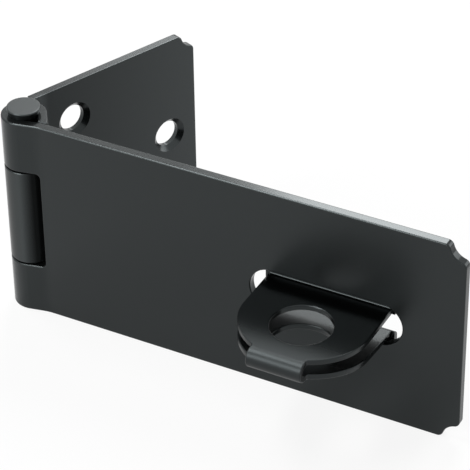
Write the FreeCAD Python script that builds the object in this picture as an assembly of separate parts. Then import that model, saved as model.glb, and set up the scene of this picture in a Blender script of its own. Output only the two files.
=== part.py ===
import FreeCAD, Part
import math
import os

# Hasp with a folded staple, in millimetres.
# Modelled about its hinge: the hinge axis is the Z axis, the hasp leaf runs along +X with
# its outer face towards -Y, and both leaves stand on their lower edges at z = 0.
# At the end everything moves together so that the origin is below the middle of the object.

Vector = FreeCAD.Vector

# Both leaves
sheet = 2.0                  # thickness of the rolled steel sheet
leaf_height = 45.0
hasp_reach = 96.3            # hinge axis to the hasp leaf's free end
fixed_reach = 44.75          # hinge axis to the fixed leaf's free end
rest_angle = 67.2            # opening between the leaves as the object stands
hasp_notch = 3.45            # radius of the hollow at each free corner
fixed_notch = 3.1
notch_blend = 1.2            # rounding on both sides of a hollow
sheet_edge_round = 0.3
cut_edge_round = 0.3         # around the window and at the ends of the centre knuckle

# Hinge
barrel_radius = 4.6          # outside of the rolled knuckles
barrel_step = 0.95           # how far the barrel stands in front of the hasp leaf
lead_angle = 12.0            # slope of the sheet between barrel and hasp leaf
lead_sweep = 10.0            # radius of the bend at the end of that slope
curl_end_angle = 33.0        # where the rolled end runs straight back to its leaf
seam_gap = 0.15              # hair gap between the rolled end and its leaf
centre_knuckle = 21.8        # length of the fixed leaf's knuckle
knuckle_play = 0.35          # gap above and below that knuckle
window_clearance = 0.4       # barrel to the edge of the hasp leaf's window
window_corner = 1.0
shoulder_clearance = 0.4     # hasp knuckles to the fixed leaf's plate
pin_clearance = 0.05         # radial play of the pin
pin_head_radius = 3.4
pin_head_height = 1.5
pin_head_foot = 3.0          # radius where the tapered head rests on the barrel
pin_head_round = 0.25
pin_end_chamfer = 0.35

# Countersunk holes of the fixed leaf, evenly spaced on a circle
fixed_screw_count = 3
fixed_screw_circle = 15.9    # radius of the circle
fixed_screw_inset = 22.95    # free end to the circle's middle
fixed_screw_radius = 2.85
fixed_sink_radius = 3.85     # outer rim of the countersink

# Slot of the hasp leaf
slot_length = 32.2
slot_width = 9.4
slot_place = 67.8            # hinge axis to the slot's middle

# Staple, one thinner strip folded over itself
strip = 1.2
staple_width = 26.1          # both round plates
plate_arc_reach = 8.15       # hasp leaf's outer face to where the round fronts begin
plate_arc_depth = 12.15      # how far the round fronts bulge, a little less than half their width
fold_width = 11.4            # narrow part that joins the plates in front
fold_reach = 21.95           # hasp leaf's outer face to the front of the fold
fold_height = 4.4            # across the fold
fold_corner = 0.7            # inside corners beside the fold
plate_rise = 2.55            # upper face of the upper plate, above the leaf's middle
plate_slope = 4.8            # degrees, lower plate only
root_bend = 0.5              # inside radius where a plate turns into its wing
wing_gap = 0.1               # wings to the hasp leaf's back
wing_width = 27.4
wing_height = 36.0           # across both wings
wing_corner = 2.5
padlock_radius = 6.1
padlock_reach = 9.9          # hasp leaf's outer face to the middle of the padlock hole
staple_screw_x = 16.0
staple_screw_z = 25.0
staple_screw_radius = 2.6
staple_sink_radius = 3.5
strip_edge_round = 0.25

# Follows from the above
bore_radius = barrel_radius - sheet
pin_radius = bore_radius - pin_clearance
mid_height = leaf_height / 2
plate_top = mid_height + plate_rise
fixed_screw_place = fixed_reach - fixed_screw_inset
hasp_front = barrel_step - barrel_radius
hasp_back = hasp_front + sheet
fixed_face = bore_radius
window_half = centre_knuckle / 2 + knuckle_play
window_edge = barrel_radius + window_clearance
shoulder_edge = math.sqrt(barrel_radius ** 2 - fixed_face ** 2) + shoulder_clearance
wing_front = hasp_back + wing_gap
over = 5.0                   # how far cutting tools reach past the material


def polar(radius, degrees):
    angle = math.radians(degrees)
    return Vector(radius * math.cos(angle), radius * math.sin(angle), 0)


def line(start, end):
    return Part.makeLine(start, end)


def arc(start, middle, end):
    return Part.Arc(start, middle, end).toShape()


def prism(edges, direction):
    wire = Part.Wire(edges)
    return Part.Face(wire).extrude(direction)


def block(x0, x1, y0, y1, z0, z1):
    return Part.makeBox(x1 - x0, y1 - y0, z1 - z0, Vector(x0, y0, z0))


def edges_along_y(shape, x, z):
    """Edges that run along Y through the point (x, z)."""
    found = []
    for edge in shape.Edges:
        box = edge.BoundBox
        narrow = box.XLength < 0.01 and box.ZLength < 0.01
        if narrow and abs(box.XMin - x) < 0.02 and abs(box.ZMin - z) < 0.02:
            found.append(edge)
    return found


def stadium(length, width, x, z, y0, y1):
    """Slot with full-round ends, cut along Y."""
    half = (length - width) / 2
    radius = width / 2
    depth = y1 - y0
    core = block(x - half, x + half, y0, y1, z - radius, z + radius)
    left = Part.makeCylinder(radius, depth, Vector(x - half, y0, z), Vector(0, 1, 0))
    right = Part.makeCylinder(radius, depth, Vector(x + half, y0, z), Vector(0, 1, 0))
    return core.fuse([left, right]).removeSplitter()


def sink(radius, rim, thickness, x, y, z):
    """Countersunk hole through a plate whose face at y looks towards -Y."""
    depth = rim - radius
    hole = Part.makeCylinder(radius, thickness + 2 * over, Vector(x, y - over, z), Vector(0, 1, 0))
    lip = 0.5
    cone = Part.makeCone(rim + lip, radius, depth + lip, Vector(x, y - lip, z), Vector(0, 1, 0))
    return hole.fuse(cone)


def rolled_sheet(reach, step, lead):
    """Leaf with its rolled barrel, full height, outer face towards -Y."""
    front = step - barrel_radius
    back = front + sheet
    start = lead - 90
    end = curl_end_angle
    half_turn = (end + start - 360) / 2
    run = polar(1, lead)
    side = polar(1, lead + 90)
    outer_start = polar(barrel_radius, start)
    inner_start = polar(bore_radius, start)
    edges = []
    plate_start = outer_start
    plate_back = inner_start
    if lead > 0:
        bend_rise = lead_sweep * (1 - math.cos(math.radians(lead)))
        slope_length = (front - bend_rise - outer_start.y) / run.y
        slope_end = outer_start + run * slope_length
        slope_back = slope_end + side * sheet
        bend_centre = slope_end - side * lead_sweep
        outer_mid = bend_centre + polar(lead_sweep, 90 + lead / 2)
        inner_mid = bend_centre + polar(lead_sweep + sheet, 90 + lead / 2)
        plate_start = bend_centre + polar(lead_sweep, 90)
        plate_back = bend_centre + polar(lead_sweep + sheet, 90)
        edges.append(arc(plate_start, outer_mid, slope_end))
        edges.append(line(slope_end, outer_start))
    tail = polar(1, end - 90)
    outer_end = polar(barrel_radius, end)
    inner_end = polar(bore_radius, end)
    tail_y = back + seam_gap
    tail_outer = outer_end + tail * ((tail_y - outer_end.y) / tail.y)
    tail_inner = inner_end + tail * ((tail_y - inner_end.y) / tail.y)
    edges.append(arc(outer_start, polar(barrel_radius, half_turn), outer_end))
    edges.append(line(outer_end, tail_outer))
    edges.append(line(tail_outer, tail_inner))
    edges.append(line(tail_inner, inner_end))
    edges.append(arc(inner_end, polar(bore_radius, half_turn), inner_start))
    if lead > 0:
        edges.append(line(inner_start, slope_back))
        edges.append(arc(slope_back, inner_mid, plate_back))
    edges.append(line(plate_back, Vector(reach, back, 0)))
    edges.append(line(Vector(reach, back, 0), Vector(reach, front, 0)))
    edges.append(line(Vector(reach, front, 0), plate_start))
    return prism(edges, Vector(0, 0, leaf_height))


def notch_corners(leaf, reach, front, radius):
    """Hollow out both free corners and blend each hollow into the straight edges."""
    corners = []
    for z, inward in ((0, radius), (leaf_height, leaf_height - radius)):
        middle = Vector(reach, front - over, z)
        leaf = leaf.cut(Part.makeCylinder(radius, sheet + 2 * over, middle, Vector(0, 1, 0)))
        corners.append((reach - radius, z))
        corners.append((reach, inward))
    edges = []
    for x, z in corners:
        edges.extend(edges_along_y(leaf, x, z))
    return leaf.makeFillet(notch_blend, edges)


def round_rim(piece, open_side):
    """Break the edges of a piece's rim, except at the side where it joins its neighbour."""
    chosen = []
    for edge in piece.Edges:
        box = edge.BoundBox
        at_end = box.ZLength < 0.001
        on_face = box.YLength < 0.001 and box.ZLength > 0.001
        at_join = box.XLength < 0.001 and abs(box.XMin - open_side) < 0.001
        seam = box.XLength < 0.001 and box.ZLength < 0.001
        if (at_end or on_face) and not at_join and not seam:
            chosen.append(edge)
    return piece.makeFillet(sheet_edge_round, chosen)


def make_leaf(reach, step, lead, notch):
    whole = rolled_sheet(reach, step, lead)
    front = step - barrel_radius
    join = 2 * barrel_radius
    reach_past = reach + over
    roll = whole.common(block(-over - barrel_radius, join, -join, join, -over, leaf_height + over))
    plate = whole.common(block(join, reach_past, -join, join, -over, leaf_height + over))
    roll = round_rim(roll, join)
    plate = round_rim(notch_corners(plate, reach, front, notch), join)
    return roll.fuse(plate).removeSplitter()


def make_hasp_leaf():
    leaf = make_leaf(hasp_reach, barrel_step, lead_angle, hasp_notch)
    z0 = mid_height - window_half
    z1 = mid_height + window_half
    window = block(-2 * barrel_radius, window_edge, -2 * barrel_radius, 2 * barrel_radius, z0, z1)
    corners = edges_along_y(window, window_edge, z0) + edges_along_y(window, window_edge, z1)
    window = window.makeFillet(window_corner, corners)
    behind = block(0, 2 * barrel_radius, hasp_back + seam_gap / 2, 2 * barrel_radius, z0, z1)
    leaf = leaf.cut([window, behind])
    border = []
    for edge in leaf.Edges:
        box = edge.BoundBox
        inside = box.ZMin > z0 - 0.01 and box.ZMax < z1 + 0.01
        through = box.XLength < 0.001 and box.ZLength < 0.001
        nearest = min(math.hypot(corner.X, corner.Y) for corner in edge.Vertexes)
        outside = box.YMin < hasp_front + 0.001 and nearest > barrel_radius - 0.01
        if inside and outside and not through and box.XMax < window_edge + 0.01:
            border.append(edge)
    leaf = leaf.makeFillet(cut_edge_round, border)

    slot = stadium(slot_length, slot_width, slot_place, mid_height,
                   hasp_front - over, hasp_back + over)
    leaf = leaf.cut(slot)
    rim = []
    for edge in leaf.Edges:
        box = edge.BoundBox
        in_slot = abs(box.Center.x - slot_place) < slot_length / 2 + 0.1
        low = abs(box.Center.z - mid_height) < slot_width / 2 + 0.1
        if in_slot and low and box.YLength < 0.001:
            rim.append(edge)
    return leaf.makeFillet(sheet_edge_round, rim)


def make_fixed_leaf():
    leaf = make_leaf(fixed_reach, 0, 0, fixed_notch)
    for low in (True, False):
        z0 = -over if low else mid_height + centre_knuckle / 2
        z1 = mid_height - centre_knuckle / 2 if low else leaf_height + over
        side = block(-2 * barrel_radius, shoulder_edge, -2 * barrel_radius, 2 * barrel_radius, z0, z1)
        above = block(0, 2 * barrel_radius, seam_gap / 2 - fixed_face, 2 * barrel_radius, z0, z1)
        leaf = leaf.cut([side, above])
    ends = []
    for edge in leaf.Edges:
        box = edge.BoundBox
        level = box.ZLength < 0.001 and abs(abs(box.ZMin - mid_height) - centre_knuckle / 2) < 0.01
        round_part = edge.Curve.TypeId == "Part::GeomCircle" and edge.Curve.Radius > barrel_radius - 0.01
        if level and round_part:
            ends.append(edge)
    leaf = leaf.makeFillet(cut_edge_round, ends)
    leaf = leaf.mirror(Vector(0, 0, 0), Vector(0, 1, 0))
    for number in range(fixed_screw_count):
        angle = math.radians(number * 360 / fixed_screw_count)
        x = fixed_screw_place + fixed_screw_circle * math.cos(angle)
        z = mid_height + fixed_screw_circle * math.sin(angle)
        leaf = leaf.cut(sink(fixed_screw_radius, fixed_sink_radius, sheet, x, fixed_face, z))
    leaf.rotate(Vector(0, 0, 0), Vector(0, 0, 1), rest_angle)
    return leaf


def make_hinge_pin():
    head = pin_head_radius
    top = leaf_height + pin_head_height
    bow = pin_head_round * (1 - math.sqrt(0.5))
    rim = Vector(head, 0, top - pin_head_round)
    crown = Vector(head - pin_head_round, 0, top)
    points = [Vector(0, 0, 0), Vector(pin_radius - pin_end_chamfer, 0, 0),
              Vector(pin_radius, 0, pin_end_chamfer), Vector(pin_radius, 0, leaf_height),
              Vector(pin_head_foot, 0, leaf_height), rim]
    edges = [line(start, end) for start, end in zip(points, points[1:])]
    edges.append(arc(rim, Vector(head - bow, 0, top - bow), crown))
    edges.append(line(crown, Vector(0, 0, top)))
    edges.append(line(Vector(0, 0, top), points[0]))
    return Part.Face(Part.Wire(edges)).revolve(Vector(0, 0, 0), Vector(0, 0, 1), 360)


def staple_point(y, z):
    return Vector(slot_place - wing_width, y, z)


def staple_arc(centre, radius, start, middle, end):
    points = []
    for degrees in (start, middle, end):
        angle = math.radians(degrees)
        points.append(centre + Vector(0, radius * math.cos(angle), radius * math.sin(angle)))
    return Part.Arc(points[0], points[1], points[2]).toShape(), points[0], points[2]


def make_staple():
    """Section of the folded strip along the X axis, then trimmed to its plan and wing outlines."""
    fold_radius = fold_height / 2
    fold_inner = fold_radius - strip
    root_outer = root_bend + strip
    wing_back = wing_front + strip
    top_z = mid_height + wing_height / 2
    low_z = mid_height - wing_height / 2
    bend_y = wing_front - root_bend
    fold = staple_point(hasp_front - fold_reach + fold_radius, plate_top - fold_radius)
    upper = staple_point(bend_y, plate_top + root_bend)
    slope = math.radians(plate_slope)
    lower_y = bend_y + root_bend * math.sin(slope)
    down = Vector(0, -math.sin(slope), -math.cos(slope))
    along = Vector(0, math.cos(slope), -math.sin(slope))
    fold_foot = fold + down * fold_radius
    run = (lower_y - fold_foot.y) / along.y
    lower = fold_foot + along * run + down * root_bend

    lower_turn = 90 - plate_slope
    half_lower = lower_turn / 2
    fold_end = 270 - plate_slope
    fold_mid = (90 + fold_end) / 2
    outer_fold, fold_top, fold_low = staple_arc(fold, fold_radius, 90, fold_mid, fold_end)
    inner_fold, inside_top, inside_low = staple_arc(fold, fold_inner, 90, fold_mid, fold_end)
    up_in, up_in_start, up_in_end = staple_arc(upper, root_bend, 270, 315, 360)
    up_out, up_out_start, up_out_end = staple_arc(upper, root_outer, 270, 315, 360)
    low_in, low_in_start, low_in_end = staple_arc(lower, root_bend, lower_turn, half_lower, 0)
    low_out, low_out_start, low_out_end = staple_arc(lower, root_outer, lower_turn, half_lower, 0)
    high_front = staple_point(wing_front, top_z)
    high_back = staple_point(wing_back, top_z)
    foot_front = staple_point(wing_front, low_z)
    foot_back = staple_point(wing_back, low_z)
    edges = [line(high_back, high_front), line(high_front, up_in_end), up_in,
             line(up_in_start, fold_top), outer_fold, line(fold_low, low_in_start), low_in,
             line(low_in_end, foot_front), line(foot_front, foot_back),
             line(foot_back, low_out_end), low_out, line(low_out_start, inside_low),
             inner_fold, line(inside_top, up_out_start), up_out, line(up_out_end, high_back)]
    section = prism(Part.__sortEdges__(edges), Vector(2 * wing_width, 0, 0))
    loop = round_plates(section.common(plate_plan()))
    base = section.common(wing_outline(low_z, top_z))
    staple = loop.fuse(base).removeSplitter()
    for x in (slot_place - staple_screw_x / 2, slot_place + staple_screw_x / 2):
        for z in (mid_height - staple_screw_z / 2, mid_height + staple_screw_z / 2):
            staple = staple.cut(sink(staple_screw_radius, staple_sink_radius, strip,
                                     x, wing_front, z))
    return staple


def plate_plan():
    """Both round plates and the narrower fold as they look from above, with the padlock hole."""
    half = staple_width / 2
    nose = fold_width / 2
    centre_y = hasp_front - plate_arc_reach
    swing = math.acos(nose / half)
    meet_y = centre_y - plate_arc_depth * math.sin(swing)
    front_y = hasp_front - fold_reach - over
    fronts = Part.Ellipse(Vector(slot_place, centre_y, 0), half, plate_arc_depth)
    left = fronts.toShape(math.pi, math.pi + swing)
    right = fronts.toShape(2 * math.pi - swing, 2 * math.pi)
    corners = [Vector(slot_place - half, wing_front, 0), Vector(slot_place - half, centre_y, 0),
               Vector(slot_place - nose, meet_y, 0), Vector(slot_place - nose, front_y, 0),
               Vector(slot_place + nose, front_y, 0), Vector(slot_place + nose, meet_y, 0),
               Vector(slot_place + half, centre_y, 0), Vector(slot_place + half, wing_front, 0)]
    edges = [line(corners[0], corners[1]), left, line(corners[2], corners[3]),
             line(corners[3], corners[4]), line(corners[4], corners[5]), right,
             line(corners[6], corners[7]), line(corners[7], corners[0])]
    plan = prism(edges, Vector(0, 0, leaf_height))
    inner = []
    for edge in plan.Edges:
        box = edge.BoundBox
        upright = box.XLength < 0.001 and box.YLength < 0.001
        if upright and abs(box.YMin - meet_y) < 0.001:
            inner.append(edge)
    plan = plan.makeFillet(fold_corner, inner)
    padlock = Vector(slot_place, hasp_front - padlock_reach, 0)
    return plan.cut(Part.makeCylinder(padlock_radius, leaf_height, padlock))


def wing_outline(low_z, top_z):
    half = wing_width / 2
    wings = block(slot_place - half, slot_place + half, wing_front, wing_front + over, low_z, top_z)
    corners = []
    for x in (slot_place - half, slot_place + half):
        corners.extend(edges_along_y(wings, x, low_z) + edges_along_y(wings, x, top_z))
    return wings.makeFillet(wing_corner, corners)


def round_plates(loop):
    """Break the long edges of the folded strip, not those across it or through its thickness."""
    chosen = []
    for edge in loop.Edges:
        box = edge.BoundBox
        across = box.YLength < 0.001 and box.ZLength < 0.001
        through = edge.Length < strip * 1.01 and box.XLength < 0.001 and edge.Curve.TypeId == "Part::GeomLine"
        at_leaf = box.YMin > wing_front - 0.001
        if not across and not through and not at_leaf:
            chosen.append(edge)
    return loop.makeFillet(strip_edge_round, chosen)


def save(shapes):
    whole = Part.makeCompound(list(shapes.values()))
    box = whole.optimalBoundingBox(False)
    shift = Vector(-(box.XMin + box.XMax) / 2, -(box.YMin + box.YMax) / 2, -box.ZMin)
    os.makedirs("parts", exist_ok=True)
    for name, shape in shapes.items():
        shape.translate(shift)
        shape.exportStep("parts/" + name + ".step")
        print(name, shape.isValid(), len(shape.Solids), round(shape.Volume, 1))
    print("moved by", shift.x, shift.y, shift.z)


save({"hasp_leaf": make_hasp_leaf(), "fixed_leaf": make_fixed_leaf(),
      "hinge_pin": make_hinge_pin(), "staple": make_staple()})
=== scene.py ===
import bpy
import math
from mathutils import Matrix, Vector

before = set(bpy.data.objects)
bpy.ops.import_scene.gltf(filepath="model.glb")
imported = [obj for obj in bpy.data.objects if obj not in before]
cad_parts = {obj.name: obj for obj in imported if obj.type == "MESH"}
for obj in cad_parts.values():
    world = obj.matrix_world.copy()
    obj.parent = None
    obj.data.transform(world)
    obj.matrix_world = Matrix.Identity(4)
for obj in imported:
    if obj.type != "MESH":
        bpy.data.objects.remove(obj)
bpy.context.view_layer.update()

# The hinge axis and the middle of the object in the row frame, in metres.
HINGE = Vector((-0.04585, -0.008671567, 0.0))
MIDDLE = HINGE + Vector((0.05, 0.0, 0.03))

# Camera: place and aim from the hinge axis, in millimetres, with a small roll.
EYE = Vector((233.02, -345.526, 307.822))
AIM = Vector((46.488, 0.38, 30.025))
ROLL = math.radians(0.933)
LENS = 191.16
SENSOR_WIDTH = 36

# Coat: its blacks, the cold tint of its reflections, and how far its gloss and colour wander.
LEAF_BLACK = (0.006, 0.0066, 0.0066)
STAPLE_BLACK = (0.0004, 0.0005, 0.0005)
COLD = (0.87, 0.98, 1.0, 1)
COAT_IOR = 1.5
GLOSS_SWING = 0.05
COLOUR_SWING = 0.12
PEEL_SCALE, PEEL_DETAIL, PEEL_STRENGTH, PEEL_DEPTH = 1500, 2, 0.015, 0.00005
CLOUD_SCALE, CLOUD_DETAIL = 55, 4

# The short leaf, in metres from the hinge axis: end of the roll, start of the leaf, free end,
# and along X the start, top, other side of the top and end of the painted highlight band on its
# knuckle; past the end, shade is painted on the knuckle.
ROLL_END, LEAF_START, FREE_END = 0.0062, 0.0082, 0.045
PAINTED_SHEEN_BAND = (-0.0023, 0.0003, 0.0007, 0.003)

# The staple grows duller between these two places along Y, in metres.
FOLD_START, FOLD_FULL = -0.0255, -0.0315

# A face counts as flat from the first to the second share of its normal along Y.
FLAT_START, FLAT_FULL = 0.8, 0.99

# Light of the room and what the eye sees of it; 1 is white.
ROOM_LIGHT, ROOM_SEEN = 0.12, 1.0

# Floor: its own glow and its paint, for mirrored rays and for the camera.
FLOOR_HALF = 3.0
FLOOR_GLOW = (0.42, 0.87)
FLOOR_PAINT = (0.46, 0.13)
FLOOR_ROUGHNESS = 0.9

SOFTBOX_DISTANCE = 1.2


def set_camera():
    """Perspective camera that stands where the photo was taken from."""
    forward = (AIM - EYE).normalized()
    right = forward.cross(Vector((0, 0, 1))).normalized()
    down = forward.cross(right)
    across = right * math.cos(ROLL) + down * math.sin(ROLL)
    below = down * math.cos(ROLL) - right * math.sin(ROLL)
    data = bpy.data.cameras.new("photo_camera")
    data.lens = LENS
    data.sensor_width = SENSOR_WIDTH
    data.clip_start = 0.01
    data.clip_end = 20
    camera = bpy.data.objects.new("photo_camera", data)
    rotation = Matrix((across, -below, -forward)).transposed().to_4x4()
    camera.matrix_world = Matrix.Translation(HINGE + EYE / 1000) @ rotation
    bpy.context.scene.collection.objects.link(camera)
    bpy.context.scene.camera = camera


def ramp(nodes, links, source, start, end, low, high):
    """Clamped straight ramp of a socket's value; low and high are numbers or sockets."""
    node = nodes.new("ShaderNodeMapRange")
    node.inputs["From Min"].default_value = start
    node.inputs["From Max"].default_value = end
    for name, value in (("To Min", low), ("To Max", high)):
        if isinstance(value, float):
            node.inputs[name].default_value = value
        else:
            links.new(value, node.inputs[name])
    links.new(source, node.inputs["Value"])
    return node.outputs["Result"]


def reckon(nodes, links, operation, *sockets):
    """Math node on one or two sockets."""
    node = nodes.new("ShaderNodeMath")
    node.operation = operation
    for socket, place in zip(sockets, node.inputs):
        links.new(socket, place)
    return node.outputs["Value"]


def split(nodes, links, vector):
    """X, Y and Z of a vector socket."""
    node = nodes.new("ShaderNodeSeparateXYZ")
    links.new(vector, node.inputs["Vector"])
    return node.outputs


def noise(nodes, links, place, scale, detail):
    node = nodes.new("ShaderNodeTexNoise")
    node.inputs["Scale"].default_value = scale
    node.inputs["Detail"].default_value = detail
    links.new(place, node.inputs["Vector"])
    return node.outputs["Fac"]


def leaf_mirror_painted_sheen(nodes, links, place, painted_knuckle_levels, inner, outer):
    """Strength of reflection on the short leaf, with a painted highlight and painted shade on its
    knuckle.

    The knuckle levels hold it at one side of the roll, in the painted highlight band and at the
    other side, where the low level paints shade. Beside the roll it is inner, and it runs on to
    outer at the free end.
    """
    level = nodes.new("ShaderNodeVectorMath")
    level.operation = "MULTIPLY"
    level.inputs[1].default_value = (1, 1, 0)
    links.new(place, level.inputs[0])
    from_axis = nodes.new("ShaderNodeVectorMath")
    from_axis.operation = "DISTANCE"
    links.new(level.outputs["Vector"], from_axis.inputs[0])
    from_axis.inputs[1].default_value = HINGE
    distance = from_axis.outputs["Value"]
    x = split(nodes, links, place)["X"]
    # The middle knuckle level paints a highlight band, the last paints shade on the knuckle's far
    # side.
    near, painted_sheen_level, painted_shade_level = painted_knuckle_levels
    start, top, past_top, end = (HINGE.x + step for step in PAINTED_SHEEN_BAND)
    rise = ramp(nodes, links, x, start, top, near, painted_sheen_level)
    across = ramp(nodes, links, x, past_top, end, rise, painted_shade_level)
    outward = ramp(nodes, links, distance, LEAF_START, FREE_END, inner, outer)
    return ramp(nodes, links, distance, ROLL_END, LEAF_START, across, outward)


def black_coat(name, base, roughness, seed, mirror=0.46, edge_mirror=0.46, painted_knuckle_levels=None,
               fold_blur=0.0, flat_blur=0.0):
    """Satin black stoved coat with a fine orange peel and slow changes of gloss.

    mirror is the strength of its reflection; with the knuckle levels it varies along the short
    leaf, with a painted highlight and painted shade on its knuckle, as the function above says.
    fold_blur is the roughness added at the staple's fold, flat_blur that on flats facing Y.
    """
    material = bpy.data.materials.new(name)
    material.use_nodes = True
    nodes, links = material.node_tree.nodes, material.node_tree.links
    shader = nodes["Principled BSDF"]
    shader.inputs["Metallic"].default_value = 0.0
    shader.inputs["IOR"].default_value = COAT_IOR
    shader.inputs["Specular Tint"].default_value = COLD
    shader.inputs["Specular IOR Level"].default_value = mirror
    coordinates = nodes.new("ShaderNodeTexCoord").outputs
    shifted = nodes.new("ShaderNodeMapping")
    shifted.inputs["Location"].default_value = (seed * 0.37, seed * 0.19, seed * 0.53)
    links.new(coordinates["Object"], shifted.inputs["Vector"])
    place = shifted.outputs["Vector"]

    # Painted highlight and painted shade: on the short leaf the reflection strength is set by
    # place on the knuckle.
    if painted_knuckle_levels:
        strength = leaf_mirror_painted_sheen(nodes, links, coordinates["Object"], painted_knuckle_levels, mirror, edge_mirror)
        links.new(strength, shader.inputs["Specular IOR Level"])

    bump = nodes.new("ShaderNodeBump")
    bump.inputs["Strength"].default_value = PEEL_STRENGTH
    bump.inputs["Distance"].default_value = PEEL_DEPTH
    peel = noise(nodes, links, place, PEEL_SCALE, PEEL_DETAIL)
    links.new(peel, bump.inputs["Height"])
    links.new(bump.outputs["Normal"], shader.inputs["Normal"])

    cloud = noise(nodes, links, place, CLOUD_SCALE, CLOUD_DETAIL)
    blur = ramp(nodes, links, cloud, 0.0, 1.0, roughness - GLOSS_SWING, roughness + GLOSS_SWING)
    if fold_blur:
        y = split(nodes, links, coordinates["Object"])["Y"]
        bent = ramp(nodes, links, y, FOLD_START, FOLD_FULL, 0.0, fold_blur)
        blur = reckon(nodes, links, "ADD", blur, bent)
    if flat_blur:
        y = split(nodes, links, coordinates["Normal"])["Y"]
        facing = reckon(nodes, links, "ABSOLUTE", y)
        flat = ramp(nodes, links, facing, FLAT_START, FLAT_FULL, 0.0, flat_blur)
        blur = reckon(nodes, links, "ADD", blur, flat)
    links.new(blur, shader.inputs["Roughness"])

    tint = nodes.new("ShaderNodeMix")
    tint.data_type = "RGBA"
    tint.inputs["A"].default_value = (*[c * (1 - COLOUR_SWING) for c in base], 1)
    tint.inputs["B"].default_value = (*[c * (1 + COLOUR_SWING) for c in base], 1)
    links.new(cloud, tint.inputs["Factor"])
    links.new(tint.outputs["Result"], shader.inputs["Base Color"])
    return material


def dress(node, material):
    """Gives every slot of a CAD node this material."""
    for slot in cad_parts[node].material_slots:
        slot.material = material


def softbox(name, azimuth, elevation, width, height, brightness):
    """Area lamp that faces the middle of the object from that direction; brightness 1 is white."""
    turn, rise = math.radians(azimuth), math.radians(elevation)
    out = Vector((math.cos(turn) * math.cos(rise), math.sin(turn) * math.cos(rise),
                  math.sin(rise)))
    data = bpy.data.lights.new(name, "AREA")
    data.shape = "RECTANGLE"
    data.size = width
    data.size_y = height
    data.energy = brightness * math.pi * width * height
    item = bpy.data.objects.new(name, data)
    item.location = MIDDLE + out * SOFTBOX_DISTANCE
    item.rotation_euler = (-out).to_track_quat("-Z", "Y").to_euler()
    bpy.context.scene.collection.objects.link(item)


def shown_to_eye(nodes, links):
    """1 for rays from the camera and for mirror and clear rays, 0 for rays that carry light."""
    path = nodes.new("ShaderNodeLightPath").outputs
    first = reckon(nodes, links, "MAXIMUM", path["Is Camera Ray"], path["Is Glossy Ray"])
    return reckon(nodes, links, "MAXIMUM", first, path["Is Transmission Ray"])


def set_world():
    """White room to the eye and to mirrored rays, with a soft light of its own."""
    world = bpy.data.worlds.new("studio")
    bpy.context.scene.world = world
    world.use_nodes = True
    nodes, links = world.node_tree.nodes, world.node_tree.links
    soft = nodes["Background"]
    seen = nodes.new("ShaderNodeBackground")
    for background, strength in ((soft, ROOM_LIGHT), (seen, ROOM_SEEN)):
        background.inputs["Color"].default_value = (1, 1, 1, 1)
        background.inputs["Strength"].default_value = strength
    mix = nodes.new("ShaderNodeMixShader")
    links.new(shown_to_eye(nodes, links), mix.inputs["Fac"])
    links.new(soft.outputs["Background"], mix.inputs[1])
    links.new(seen.outputs["Background"], mix.inputs[2])
    links.new(mix.outputs["Shader"], nodes["World Output"].inputs["Surface"])


def set_floor():
    """Pale floor that carries the object's shadow and runs into the white behind it."""
    data = bpy.data.meshes.new("floor")
    corners = [(-FLOOR_HALF, -FLOOR_HALF, 0), (FLOOR_HALF, -FLOOR_HALF, 0),
               (FLOOR_HALF, FLOOR_HALF, 0), (-FLOOR_HALF, FLOOR_HALF, 0)]
    data.from_pydata(corners, [], [(0, 1, 2, 3)])
    floor = bpy.data.objects.new("floor", data)
    bpy.context.scene.collection.objects.link(floor)
    material = bpy.data.materials.new("floor_white")
    material.use_nodes = True
    nodes, links = material.node_tree.nodes, material.node_tree.links
    shader = nodes["Principled BSDF"]
    shader.inputs["Roughness"].default_value = FLOOR_ROUGHNESS
    shader.inputs["Specular IOR Level"].default_value = 0.0
    glow = nodes.new("ShaderNodeEmission")
    direct = nodes.new("ShaderNodeLightPath").outputs["Is Camera Ray"]
    for socket, (mirrored, seen) in ((glow.inputs["Strength"], FLOOR_GLOW),
                                     (shader.inputs["Base Color"], FLOOR_PAINT)):
        links.new(ramp(nodes, links, direct, 0.0, 1.0, mirrored, seen), socket)
    both = nodes.new("ShaderNodeAddShader")
    mix = nodes.new("ShaderNodeMixShader")
    links.new(shader.outputs["BSDF"], both.inputs[0])
    links.new(glow.outputs["Emission"], both.inputs[1])
    links.new(shown_to_eye(nodes, links), mix.inputs["Fac"])
    links.new(shader.outputs["BSDF"], mix.inputs[1])
    links.new(both.outputs["Shader"], mix.inputs[2])
    links.new(mix.outputs["Shader"], nodes["Material Output"].inputs["Surface"])
    data.materials.append(material)


bpy.context.scene.view_settings.view_transform = "Standard"
set_camera()
dress("hasp_leaf", black_coat("coat_long_leaf", LEAF_BLACK, 0.15, 1, flat_blur=0.17))
# The short leaf's knuckle levels paint a highlight band into its reflection strength and paint
# shade past it.
dress("fixed_leaf", black_coat("coat_short_leaf_painted_sheen", LEAF_BLACK, 0.23, 2, mirror=0.36,
                               edge_mirror=0.66, painted_knuckle_levels=(0.3, 0.75, 0.06)))
dress("hinge_pin", black_coat("coat_pin", LEAF_BLACK, 0.3, 3, mirror=0.6))
dress("staple", black_coat("coat_staple", STAPLE_BLACK, 0.24, 4, fold_blur=0.15))
set_world()
set_floor()
# The two boxes behind light the level upper edges, the one at the left the long leaf's front
# rim, the one in front the staple's fold, the one at the right the upright edges.
softbox("softbox_back", 105.6, 47.5, 0.41, 0.64, 8.2)
softbox("softbox_low", 120.5, 28.5, 0.14, 0.11, 4.5)
softbox("softbox_left", 190, 67, 0.72, 0.2, 14)
softbox("softbox_front", 250, 29, 0.9, 0.5, 5.4)
softbox("softbox_right", 50, 18, 0.95, 0.6, 1.8)
